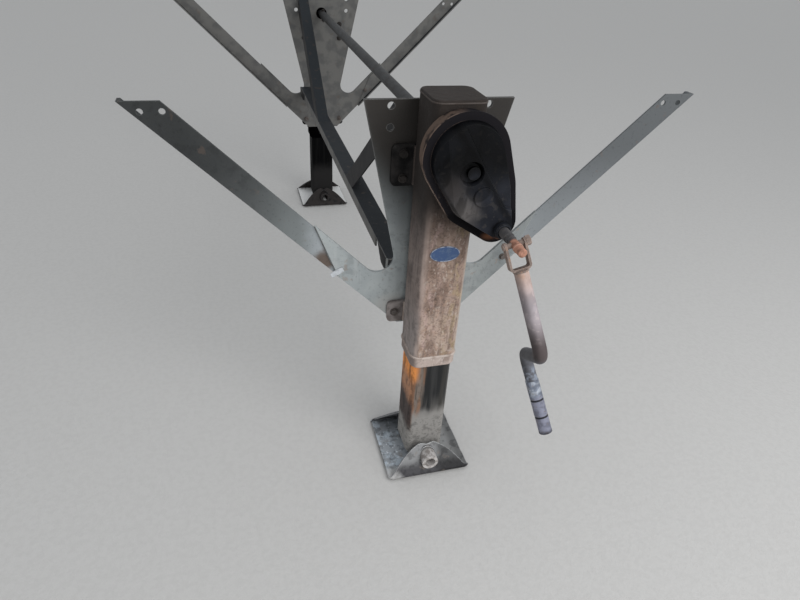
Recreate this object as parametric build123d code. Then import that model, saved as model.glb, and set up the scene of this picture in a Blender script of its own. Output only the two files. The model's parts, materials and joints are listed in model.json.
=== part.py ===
from build123d import *
import math
import os

# Landing gear of a semi trailer: two telescoping legs, a side gearbox with a folding crank,
# three-arm wing plates, arms, cross tie, knee struts and cross shaft.
# X runs along the trailer, Y runs inboard from the crank side, Z is up.
# The origin is the middle of the near wing plate's upper bolts, on its inboard face.
# Heights below are above the ground that the shoes stand on.

# Leg tubes
outer_size = 127.0
outer_wall = 6.2
outer_corner = 25.0
slide_gap = 0.9
inner_wall = 6.35
collar_gap = 0.5
collar_bottom = 370.0
collar_height = 34.0
collar_bevel_up = 4.2
collar_bevel_in = 2.8
leg_above_gear = 103.0
cap_thickness = 6.0
cap_bevel = 2.4
inner_top = 690.0
inner_bottom = 20.0
inner_foot_half = 35.0
inner_chamfer_height = 22.0

# Leg places
leg_spacing = 1950.0
mount_below_top = 40.0

# Shoe and its pin
shoe_size = 254.0
shoe_corner = 12.0
shoe_plate = 7.0
shoe_pad_half = 54.0
shoe_rise = 12.0
ear_foot_half = 120.0
ear_top_half = 38.0
ear_bulge = 6.0
ear_height = 103.0
ear_slope = 0.244
ear_thickness = 8.0
ear_corner = 9.0
ear_dip = 4.0
ear_dip_radius = 60.0
pin_height = 50.0
pin_diameter = 48.3
pin_bore = 32.0
pin_reach = 123.0
pin_clearance = 0.3
ear_slot_rise = 8.0

# Mounting brackets across the back of each leg tube
bracket_thickness = 9.0
bracket_corner = 14.0
upper_bracket_half = 115.0
bracket_below_gear = 129.0
upper_bracket_height = 104.0
lower_bracket_half = 106.0
lower_bracket_bottom = 447.0
lower_bracket_height = 66.0

# Wing plate
wing_thickness = 8.0
wing_top = 1060.0
wing_bottom = 437.0
arm_low = 362.0
arm_width = 66.0
centre_half_low = 93.0
centre_slope = 0.225
centre_slope_height = 655.0
valley_radius = 42.0
stub_low_x = 240.0
stub_top_x = 300.0
wing_bolt_x = 120.0
wing_bolt_z = 25.0
wing_bolt_diameter = 17.5

# Front and rear arms
arm_bar_width = 60.0
arm_sheet = 5.0
arm_depth = 28.0
arm_start_low_x = 185.0
arm_start_top_x = 245.0
arm_bolt_pitch = 44.0
arm_bolt_drop = 22.0
arm_bolt_diameter = 14.0

# Cross tie and knee struts
tie_front_x = -109.0
tie_width = 56.0
tie_bottom = 608.0
tie_height = 33.0
tie_sheet = 5.0
tie_cope = 135.0
knee_foot_y = 666.0
knee_top_height = 1056.0
knee_depth = 60.0
knee_flange = 45.0

# Gearbox on the near leg
top_gear_x = 5.0
top_gear_height = 982.0
top_gear_radius = 100.0
middle_gear_x = 41.0
middle_gear_drop = 78.0
middle_gear_radius = 89.0
crank_x = 95.0
crank_drop = 159.0
crank_end_radius = 50.0
case_depth = 40.0
case_inset = 6.0
flange_thickness = 5.0
dome_inset = 17.0
dome_depth = 30.0
dome_draft = 12.0
boss_radius = 19.0
boss_length = 16.0
lobe_radius = 24.0
lobe_height = 5.0
lobe_draft = 25.0
hub_x = 14.0
hub_drop = 25.0
hub_radius = 14.5
hub_sunk = 3.0
recess_shift = 6.0
recess_floor_radius = 22.0
recess_depth = 12.0
recess_draft = 26.0
shoulder_depth = 9.0
shoulder_draft = 20.0
shoulder_gap = 28.5
shoulder_above_crank = 48.0
shoulder_corner = 22.0
slope_crease_x = -28.5
slope_lean = 11.0
slope_width = 50.0
slope_drop = 24.0

# Crank shaft, yoke and handle
shaft_diameter = 25.4
shaft_clearance = 0.05
shaft_end_gap = 0.5
shaft_into_case = 25.5
shaft_reach = 31.5
tongue_diameter = 20.5
tongue_band = 23.5
tongue_band_width = 5.0
tongue_bevel = 4.1
pin_from_shaft = 29.0
tongue_past_pin = 46.0
crank_pin_diameter = 13.0
yoke_gap = 40.0
yoke_sheet = 5.5
yoke_width = 19.0
yoke_length = 60.0
bolt_head = 24.0
bolt_head_height = 10.0
bolt_peen_diameter = 15.5
bolt_peen_height = 3.0
pin_tilt = 15.0
hang_angle = 21.5
pipe_diameter = 33.4
pipe_wall = 3.4
pipe_open_length = 60.0
arm_length = 275.0
throw_length = 250.0
throw_drop = 18.0
throw_twist = 8.0
grip_length = 240.0
grip_turn = 4.0
bend_radius = 42.0
grip_sleeve_diameter = 37.0
grip_sleeve_length = 160.0
grip_groove = 1.1
grip_groove_width = 5.0
grip_groove_places = (0.36, 0.68)
grip_bevel = 1.1

# Cross shaft
cross_pipe_diameter = 33.4
cross_stub_reach = 70.0
cross_pipe_start = 40.0

# Badge
badge_x = -4.0
badge_below_gear = 257.0
badge_half_width = 38.0
badge_half_height = 21.0
badge_thickness = 1.2

# Worked out sizes
half = outer_size / 2
inner_size = outer_size - 2 * outer_wall - 2 * slide_gap
inner_corner = outer_corner - outer_wall - slide_gap
mount_height = wing_top - mount_below_top
badge_height = top_gear_height - badge_below_gear
collar_top =collar_bottom + collar_height
leg_top = top_gear_height + leg_above_gear
upper_bracket_bottom = top_gear_height - bracket_below_gear
ear_foot = shoe_rise + shoe_plate / 2
middle_gear_height = top_gear_height - middle_gear_drop
crank_height = top_gear_height - crank_drop
plate_face = half + bracket_thickness
plate_back = plate_face + wing_thickness
leg_y = -plate_back
arm_high = arm_low + arm_width * math.sqrt(2)
arm_bar_high = arm_low + arm_bar_width * math.sqrt(2)
case_face = -half - case_depth
flange_face = case_face - flange_thickness
dome_face = flange_face - dome_depth
boss_face = dome_face - boss_length
shaft_inner_y = case_face + shaft_into_case
tongue_start_y = boss_face - shaft_reach
crank_pin_y = tongue_start_y - pin_from_shaft
tongue_end_y = crank_pin_y - tongue_past_pin

os.makedirs("parts", exist_ok=True)


def near(shape):
    """Place a piece drawn at its leg into the frame."""
    return Pos(0, leg_y, -mount_height) * shape


def far(shape):
    """Mirror a piece of the near leg to the far leg."""
    return Pos(0, leg_y + leg_spacing, -mount_height) * mirror(shape, about=Plane.XZ)


def upright(sketch, y_low, y_high):
    """A plate in the XZ plane from a flat outline, between two Y values."""
    return Pos(0, y_high, 0) * extrude(Plane.XZ * sketch, amount=y_high - y_low, dir=(0, -1, 0))


def sideways(sketch, x_low, x_high):
    """A plate in the YZ plane from a flat outline, between two X values."""
    return Pos(x_low, 0, 0) * extrude(Plane.YZ * sketch, amount=x_high - x_low, dir=(1, 0, 0))


def rod_y(x, height, diameter, y_low, y_high):
    """A round bar along Y."""
    return upright(Pos(x, height) * Circle(diameter / 2), y_low, y_high)


def square_ring(size, corner, hole, hole_corner, low, high):
    """A square tube with round corners between two heights."""
    ring = RectangleRounded(size, size, corner) - RectangleRounded(hole, hole, hole_corner)
    return Pos(0, 0, low) * extrude(ring, amount=high - low)


# Leg tube, collar and cap
def outer_tube():
    hole = outer_size - 2 * outer_wall
    tube = square_ring(outer_size, outer_corner, hole, outer_corner - outer_wall, collar_top, leg_top)
    bore = shaft_diameter + 2 * shaft_clearance
    return tube - rod_y(0, top_gear_height, bore, half - 2 * outer_wall, half + 1)


def collar():
    hole = inner_size + 2 * collar_gap
    ring = square_ring(outer_size, outer_corner, hole, inner_corner + collar_gap, collar_bottom, collar_top)
    rim = ring.faces().sort_by(Axis.Z)[0].outer_wire().edges()
    return chamfer(rim, collar_bevel_up, collar_bevel_in)


def cap():
    lid = extrude(RectangleRounded(outer_size, outer_size, outer_corner), amount=cap_thickness)
    rim = lid.faces().sort_by(Axis.Z)[-1].edges()
    return Pos(0, 0, leg_top) * chamfer(rim, cap_bevel)


def inner_tube():
    hole = inner_size - 2 * inner_wall
    tube = square_ring(inner_size, inner_corner, hole, inner_corner - inner_wall, inner_bottom, inner_top)
    tube -= rod_y(0, pin_height, pin_diameter, -half, half)
    reach = inner_size / 2 - inner_foot_half
    for side in (-1, 1):
        corner = Polygon(
            (side * inner_foot_half, inner_bottom),
            (side * (inner_size / 2 + 1), inner_bottom),
            (side * (inner_size / 2 + 1), inner_bottom + inner_chamfer_height * (reach + 1) / reach),
            align=None,
        )
        tube -= upright(corner, -half, half)
    return tube


def axle_pin():
    return rod_y(0, pin_height, pin_diameter, -pin_reach, pin_reach) - rod_y(
        0, pin_height, pin_bore, -pin_reach, pin_reach
    )


# Shoe: a pressed square pan with two leaning ears
def shoe_room(base):
    """The room over a pan that is flat in its middle and rises to all four edges."""
    edge = shoe_size / 2
    profile = Polygon(
        (-edge, base + shoe_rise),
        (-shoe_pad_half, base),
        (shoe_pad_half, base),
        (edge, base + shoe_rise),
        (edge, 2 * ear_height),
        (-edge, 2 * ear_height),
        align=None,
    )
    return upright(profile, -edge, edge) & sideways(profile, -edge, edge)


def ear_outline():
    bulge_x = (ear_foot_half + ear_top_half) / 2 + ear_bulge
    bulge_z = (ear_foot + ear_height) / 2 + ear_bulge
    with BuildSketch() as outline:
        with BuildLine():
            Line((-ear_foot_half, ear_foot), (ear_foot_half, ear_foot))
            ThreePointArc((ear_foot_half, ear_foot), (bulge_x, bulge_z), (ear_top_half, ear_height))
            Line((ear_top_half, ear_height), (-ear_top_half, ear_height))
            ThreePointArc((-ear_top_half, ear_height), (-bulge_x, bulge_z), (-ear_foot_half, ear_foot))
        make_face()
    face = outline.sketch
    face = fillet(face.vertices().group_by(Axis.Y)[-1], ear_corner)
    face -= Pos(0, ear_height + ear_dip_radius - ear_dip) * Circle(ear_dip_radius)
    slot_size = pin_diameter + 2 * pin_clearance
    face -= Pos(0, pin_height) * Circle(slot_size / 2)
    face -= Pos(0, pin_height + ear_slot_rise) * Circle(slot_size / 2)
    face -= Pos(0, pin_height + ear_slot_rise / 2) * Rectangle(slot_size, ear_slot_rise)
    return face


def shoe():
    edge = shoe_size / 2
    pan = shoe_room(0) - shoe_room(shoe_plate)
    pan &= extrude(RectangleRounded(shoe_size, shoe_size, shoe_corner), amount=ear_height)
    lean = (ear_height - ear_foot) * ear_slope
    slab_edges = Polygon(
        (-edge, ear_foot),
        (-edge + ear_thickness, ear_foot),
        (-edge + ear_thickness + lean, ear_height),
        (-edge + lean, ear_height),
        align=None,
    )
    ear = upright(ear_outline(), -edge, -edge + ear_thickness + lean) & sideways(slab_edges, -edge, edge)
    return pan + ear + mirror(ear, about=Plane.XZ)


# Brackets across the back of the tube
def bracket(half_width, bottom, height):
    sheet = Pos(0, bottom + height / 2) * RectangleRounded(2 * half_width, height, bracket_corner)
    return upright(sheet, half, plate_face)


# Wing plate with a centre arm and two stubs, as one flat outline
def centre_edge(height):
    return centre_half_low + centre_slope * (height - centre_slope_height)


def wing_outline():
    foot = wing_bottom - arm_low
    valley = (centre_edge(arm_high)) / (1 - centre_slope)
    right = [
        (0, wing_bottom),
        (foot, wing_bottom),
        (stub_low_x, stub_low_x + arm_low),
        (stub_top_x, stub_top_x + arm_high),
        (valley, valley + arm_high),
        (centre_edge(wing_top), wing_top),
        (0, wing_top),
    ]
    face = Polygon(*right, align=None)
    corner = face.vertices().sort_by_distance((valley, valley + arm_high, 0))[0]
    face = fillet(corner, valley_radius)
    return face + mirror(face, about=Plane.YZ)


def wing_plate():
    sheet = wing_outline()
    sheet -= Pos(0, top_gear_height) * Circle(shaft_diameter)
    for side in (-1, 1):
        for level in (mount_height - wing_bolt_z, mount_height + wing_bolt_z):
            sheet -= Pos(side * wing_bolt_x, level) * Circle(wing_bolt_diameter / 2)
    return upright(sheet, plate_face, plate_back)


# Arms: angles lapped behind the stubs of the wing plate, with the flange along the lower edge
def arm_band(side, low, start_x):
    skew = arm_start_top_x - arm_start_low_x
    return Polygon(
        (side * start_x, start_x + low),
        (side * (wing_top - low), wing_top),
        (side * (wing_top - arm_bar_high), wing_top),
        (side * (start_x + skew), start_x + skew + arm_bar_high),
        align=None,
    )


def arm(side):
    hollow_low = arm_low + arm_sheet * math.sqrt(2)
    angle = upright(arm_band(side, arm_low, arm_start_low_x), plate_back, plate_back + arm_depth)
    hollow = arm_band(side, hollow_low, arm_start_low_x - arm_depth)
    angle -= upright(hollow, plate_back + arm_sheet, plate_back + arm_depth)
    level = wing_top - arm_bolt_drop
    middle = level - (arm_low + arm_bar_high) / 2
    for step in (-0.5, 0.5):
        x = middle + step * arm_bolt_pitch
        angle -= rod_y(side * x, level, arm_bolt_diameter, plate_back - 1, plate_back + arm_sheet + 1)
    return angle


# Cross tie from plate to plate: a channel with its web on top, its front flange cut back at both ends
def tie():
    length = leg_spacing - 2 * plate_back
    middle = Pos(tie_front_x + tie_width / 2, plate_back + length / 2, tie_bottom + tie_height / 2)
    hollow = Pos(0, 0, -tie_sheet) * Box(tie_width - 2 * tie_sheet, length, tie_height)
    notch = Pos(-tie_width / 2, 0, -tie_sheet) * Box(2 * tie_sheet, tie_cope, tie_height)
    channel = Box(tie_width, length, tie_height) - hollow
    for end in (-1, 1):
        channel -= Pos(0, end * (length - tie_cope) / 2, 0) * notch
    return middle * channel


# Knee strut: an angle from the top of the wing plate down to the tie, its flange on the upper side
def knee_side(depth):
    tie_top = tie_bottom + tie_height
    slope = math.atan2(knee_top_height - tie_top, knee_foot_y - plate_back)
    return Polygon(
        (knee_foot_y, tie_top),
        (knee_foot_y - depth / math.sin(slope), tie_top),
        (plate_back, knee_top_height - depth / math.cos(slope)),
        (plate_back, knee_top_height),
        align=None,
    )


def knee():
    web = sideways(knee_side(knee_depth), tie_front_x, tie_front_x + tie_sheet)
    return web + sideways(knee_side(tie_sheet), tie_front_x, tie_front_x + knee_flange)


# Gearbox: a case on the tube and a bolted cover with a dome and bosses
gear_centres = (
    (top_gear_x, top_gear_height, top_gear_radius),
    (middle_gear_x, middle_gear_height, middle_gear_radius),
    (crank_x, crank_height, crank_end_radius),
)


def gear_outline(inset):
    circles = []
    for x, height, radius in gear_centres:
        circles.append((Pos(x, height) * Circle(radius - inset)).edge())
    return make_hull(circles)


def gear_case():
    body = upright(gear_outline(case_inset), case_face, -half)
    bore = shaft_diameter + 2 * shaft_clearance
    return body - rod_y(crank_x, crank_height, bore, case_face - 1, shaft_inner_y + shaft_end_gap)


def cover_plane(y):
    """A drawing plane across the cover that faces outwards."""
    return Plane.XZ.offset(-y)


# The cover is lower right of a crease that runs beside the line from the hub to the crank
def gear_shoulder():
    hub_height = top_gear_height - hub_drop
    run = (crank_x - hub_x) / (hub_height - crank_height)
    crease_x = hub_x + shoulder_gap * math.hypot(1, run)
    low = crank_height + shoulder_above_crank
    high = top_gear_height + top_gear_radius
    corner_x = crease_x + (hub_height - low) * run
    far_x = crank_x + top_gear_radius
    outline = Polygon(
        (crease_x + (hub_height - high) * run, high),
        (corner_x, low),
        (far_x, low),
        (far_x, high),
        align=None,
    )
    corner = outline.vertices().sort_by_distance((corner_x, low, 0))[0]
    face = cover_plane(dome_face + shoulder_depth) * fillet(corner, shoulder_corner)
    return extrude(face, amount=shoulder_depth + 1, taper=-shoulder_draft)


# Left of a soft crease the cover slopes down to its flange
def gear_slope():
    lean = math.radians(slope_lean)
    along = Vector(math.sin(lean), 0, -math.cos(lean))
    left = Vector(-math.cos(lean), 0, -math.sin(lean))
    down = left * slope_width + Vector(0, slope_drop, 0)
    origin = (slope_crease_x, dome_face, middle_gear_height)
    place = Plane(origin=origin, x_dir=along, z_dir=down.cross(along))
    size = 4 * top_gear_radius
    return place.location * Box(size, size, size, align=(Align.CENTER, Align.CENTER, Align.MIN))


def gear_cover():
    hub_height = top_gear_height - hub_drop
    dome = extrude(cover_plane(flange_face) * gear_outline(dome_inset), amount=dome_depth, taper=dome_draft)
    dome -= gear_shoulder()
    dome -= gear_slope()
    recess_place = cover_plane(dome_face + recess_depth) * Pos(hub_x - recess_shift, hub_height)
    dome -= extrude(recess_place * Circle(recess_floor_radius), amount=recess_depth + 1, taper=-recess_draft)
    body = dome + upright(gear_outline(0), flange_face, case_face)
    body += rod_y(hub_x, hub_height, 2 * hub_radius, dome_face + hub_sunk, dome_face + recess_depth)
    lobe_place = cover_plane(dome_face) * Pos(middle_gear_x, middle_gear_height)
    body += extrude(lobe_place * Circle(lobe_radius), amount=lobe_height, taper=lobe_draft)
    body += rod_y(crank_x, crank_height, 2 * boss_radius, boss_face, flange_face)
    bore = shaft_diameter + 2 * shaft_clearance
    return body - rod_y(crank_x, crank_height, bore, boss_face - 1, case_face + 1)


# Crank shaft with a round tongue between two bands
def crank_shaft():
    bar = rod_y(crank_x, crank_height, shaft_diameter, tongue_start_y, shaft_inner_y)
    tongue = rod_y(crank_x, crank_height, tongue_diameter, tongue_end_y, tongue_start_y)
    tip = tongue.edges().filter_by(GeomType.CIRCLE).group_by(Axis.Y)[0]
    bar += chamfer(tip, tongue_bevel)
    for side in (-1, 1):
        middle = crank_pin_y + side * (crank_pin_diameter + tongue_band_width)
        low = middle - tongue_band_width / 2
        bar += rod_y(crank_x, crank_height, tongue_band, low, low + tongue_band_width)
    hole = Rot(0, 90, 0) * Cylinder(crank_pin_diameter / 2 + shaft_clearance, 2 * tongue_band)
    return bar - Pos(crank_x, crank_pin_y, crank_height) * Rot(0, -pin_tilt, 0) * hole


# The handle's own axes: x along the yoke pin, y along the throw, z down the hanging arm
def handle_place():
    tilt = math.radians(pin_tilt)
    hang = math.radians(hang_angle)
    pin_axis = Vector(math.cos(tilt), 0, math.sin(tilt))
    down = Vector(math.sin(tilt), 0, -math.cos(tilt))
    along = down * math.cos(hang) + Vector(0, -math.sin(hang), 0)
    origin = Vector(crank_x, crank_pin_y, crank_height)
    return Plane(origin=origin, x_dir=pin_axis, z_dir=along)


def handle_point(x, y, z):
    return handle_place().from_local_coords(Vector(x, y, z))


def throw_direction():
    twist = math.radians(throw_twist)
    drop = math.radians(throw_drop)
    return Vector(math.sin(twist) * math.cos(drop), -math.cos(twist) * math.cos(drop), math.sin(drop))


def handle_corners():
    throw = throw_direction() * throw_length
    turn = math.radians(grip_turn)
    corner = Vector(0, 0, arm_length)
    knee_point = corner + throw
    end = knee_point + Vector(0, math.sin(turn), math.cos(turn)) * grip_length
    start = Vector(0, 0, yoke_length)
    return [handle_point(p.X, p.Y, p.Z) for p in (start, corner, knee_point, end)]


def yoke():
    outer = yoke_gap + 2 * yoke_sheet
    back = yoke_width / 2
    block = Pos(0, 0, (yoke_length - back) / 2) * Box(outer, yoke_width, yoke_length + back)
    ends = block.edges().filter_by(Axis.X).group_by(Axis.Z)[0]
    block = fillet(ends, back * 0.9)
    corners = block.edges().filter_by(Axis.Y).group_by(Axis.Z)[-1]
    block = fillet(corners, 2 * yoke_sheet)
    gap = Pos(0, 0, (yoke_length - yoke_sheet - back - 1) / 2) * Box(
        yoke_gap, 2 * yoke_width, yoke_length - yoke_sheet + back + 1
    )
    inside = gap.edges().filter_by(Axis.Y).group_by(Axis.Z)[-1]
    gap = fillet(inside, yoke_sheet)
    hole = Rot(0, 90, 0) * Cylinder(crank_pin_diameter / 2, 2 * outer)
    return handle_place().location * (block - gap - hole)


def yoke_bolt():
    reach = yoke_gap / 2 + yoke_sheet
    start = -reach - bolt_peen_height
    turn = Rot(0, 90, 0)
    upwards = (Align.CENTER, Align.CENTER, Align.MIN)
    bolt = Pos(start, 0, 0) * turn * Cylinder(crank_pin_diameter / 2, reach - start, align=upwards)
    bolt += Pos(start, 0, 0) * turn * Cylinder(bolt_peen_diameter / 2, bolt_peen_height, align=upwards)
    bolt += Pos(reach, 0, 0) * turn * extrude(RegularPolygon(bolt_head / 2, 6), bolt_head_height)
    return handle_place().location * bolt


# The pipe is bored only at its open end, where its inside shows
def crank_arm():
    points = handle_corners()
    path = FilletPolyline(*points, radius=bend_radius)
    section = Plane(origin=points[0], z_dir=points[1] - points[0])
    bar = sweep(section * Circle(pipe_diameter / 2), path=path)
    mouth = Plane(origin=points[3], z_dir=points[3] - points[2])
    return bar - mouth.location * Cylinder(pipe_diameter / 2 - pipe_wall, 2 * pipe_open_length)


def grip():
    points = handle_corners()
    direction = (points[3] - points[2]).normalized()
    place = Plane(origin=points[3] - direction * grip_sleeve_length, z_dir=direction)
    radius = grip_sleeve_diameter / 2
    sleeve = Cylinder(radius, grip_sleeve_length, align=(Align.CENTER, Align.CENTER, Align.MIN))
    sleeve = chamfer(sleeve.edges().filter_by(GeomType.CIRCLE), grip_bevel)
    for share in grip_groove_places:
        ring = Cylinder(radius + 1, grip_groove_width) - Cylinder(radius - grip_groove, grip_groove_width)
        sleeve -= Pos(0, 0, share * grip_sleeve_length) * ring
    bore = Cylinder(pipe_diameter / 2, 3 * grip_sleeve_length)
    return place.location * (sleeve - bore)


# Cross shaft: a pipe over a stub at each leg
def cross_stub():
    return rod_y(0, top_gear_height, shaft_diameter, half - 1.5 * outer_wall, plate_back + cross_stub_reach)


def cross_shaft():
    start = plate_back + cross_pipe_start
    end = leg_spacing - start
    pipe = rod_y(0, top_gear_height, cross_pipe_diameter, start, end)
    return pipe - rod_y(0, top_gear_height, shaft_diameter, start - 1, end + 1)


# Badge: a blank oval plate on the front of the near tube
def badge():
    oval = Pos(badge_x, badge_height) * Ellipse(badge_half_width, badge_half_height)
    return upright(oval, -half - badge_thickness, -half)


# Pieces that both legs have: name, solid
leg_pieces = {
    "outer_tube": outer_tube(),
    "collar": collar(),
    "cap": cap(),
    "upper_bracket": bracket(upper_bracket_half, upper_bracket_bottom, upper_bracket_height),
    "lower_bracket": bracket(lower_bracket_half, lower_bracket_bottom, lower_bracket_height),
    "wing_plate": wing_plate(),
    "front_arm": arm(-1),
    "rear_arm": arm(1),
    "knee_strut": knee(),
    "inner_tube": inner_tube(),
    "axle_pin": axle_pin(),
    "shoe": shoe(),
    "cross_stub": cross_stub(),
}

# Pieces that only the near side has, or that span both legs
single_pieces = {
    "cross_tie": tie(),
    "gear_case": gear_case(),
    "gear_cover": gear_cover(),
    "crank_shaft": crank_shaft(),
    "crank_yoke": yoke(),
    "crank_bolt": yoke_bolt(),
    "crank_arm": crank_arm(),
    "crank_grip": grip(),
    "cross_shaft": cross_shaft(),
    "badge_plate": badge(),
}

for name, solid in leg_pieces.items():
    export_step(near(solid), f"parts/near_{name}.step")
    export_step(far(solid), f"parts/far_{name}.step")

for name, solid in single_pieces.items():
    export_step(near(solid), f"parts/{name}.step")
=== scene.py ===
# Semi trailer landing gear, dressed for rendering.
# Everything is in metres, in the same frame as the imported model.
import bpy
import bmesh
import json
import math
import random
from mathutils import Matrix, Vector


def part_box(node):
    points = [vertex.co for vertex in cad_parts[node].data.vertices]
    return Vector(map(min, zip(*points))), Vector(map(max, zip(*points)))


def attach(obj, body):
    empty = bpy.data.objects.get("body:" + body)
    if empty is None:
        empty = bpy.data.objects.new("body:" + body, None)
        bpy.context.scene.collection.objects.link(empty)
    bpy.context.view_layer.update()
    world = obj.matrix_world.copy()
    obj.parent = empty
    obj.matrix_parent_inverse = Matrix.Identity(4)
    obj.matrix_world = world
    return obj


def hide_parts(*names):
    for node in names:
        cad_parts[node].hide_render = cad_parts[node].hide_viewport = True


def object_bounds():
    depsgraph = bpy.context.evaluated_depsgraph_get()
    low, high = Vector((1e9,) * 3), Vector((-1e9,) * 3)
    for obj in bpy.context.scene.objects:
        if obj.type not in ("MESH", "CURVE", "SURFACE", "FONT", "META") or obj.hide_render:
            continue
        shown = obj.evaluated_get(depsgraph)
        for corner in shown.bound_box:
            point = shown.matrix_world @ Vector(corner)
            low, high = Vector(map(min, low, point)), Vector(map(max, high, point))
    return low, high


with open("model.json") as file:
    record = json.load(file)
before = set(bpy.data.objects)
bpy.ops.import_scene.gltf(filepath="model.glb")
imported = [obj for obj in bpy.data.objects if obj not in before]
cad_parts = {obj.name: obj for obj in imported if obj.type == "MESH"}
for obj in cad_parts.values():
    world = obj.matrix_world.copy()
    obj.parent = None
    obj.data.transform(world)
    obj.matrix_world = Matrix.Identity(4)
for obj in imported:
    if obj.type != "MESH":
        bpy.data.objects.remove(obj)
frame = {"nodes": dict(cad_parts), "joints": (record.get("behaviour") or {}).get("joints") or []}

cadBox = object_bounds()
nodes = frame["nodes"]
scene = bpy.context.scene
ground = cadBox[0][2]
print("frame loaded:", len(nodes), "nodes")


# Places on a leg: millimetres from its axis, and up from the ground
def middleY(name):
    low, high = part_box(name)
    return (low[1] + high[1]) / 2


axisY = {"near": middleY("near_outer_tube"), "far": middleY("far_outer_tube")}
inward = {"near": 1, "far": -1}


def at(side, x, y, h):
    return Vector((x / 1000, axisY[side] + inward[side] * y / 1000, ground + h / 1000))


def toward(side, x, y, z):
    return Vector((x, inward[side] * y, z)).normalized()


def up(h):
    return ground + h / 1000


# Node materials, built from a look: a base and its layers, each with the masks that it keeps to
shading = {
    "round": 0.001,
    "metal": 0,
    "gloss": 0.3,
    "detail": 4,
    "bevelSamples": 4,
    "creviceSamples": 8,
    "edgeStart": 0.85,
    "edgeNoise": 90,
    "edgeDrift": 0.3,
}


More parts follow.
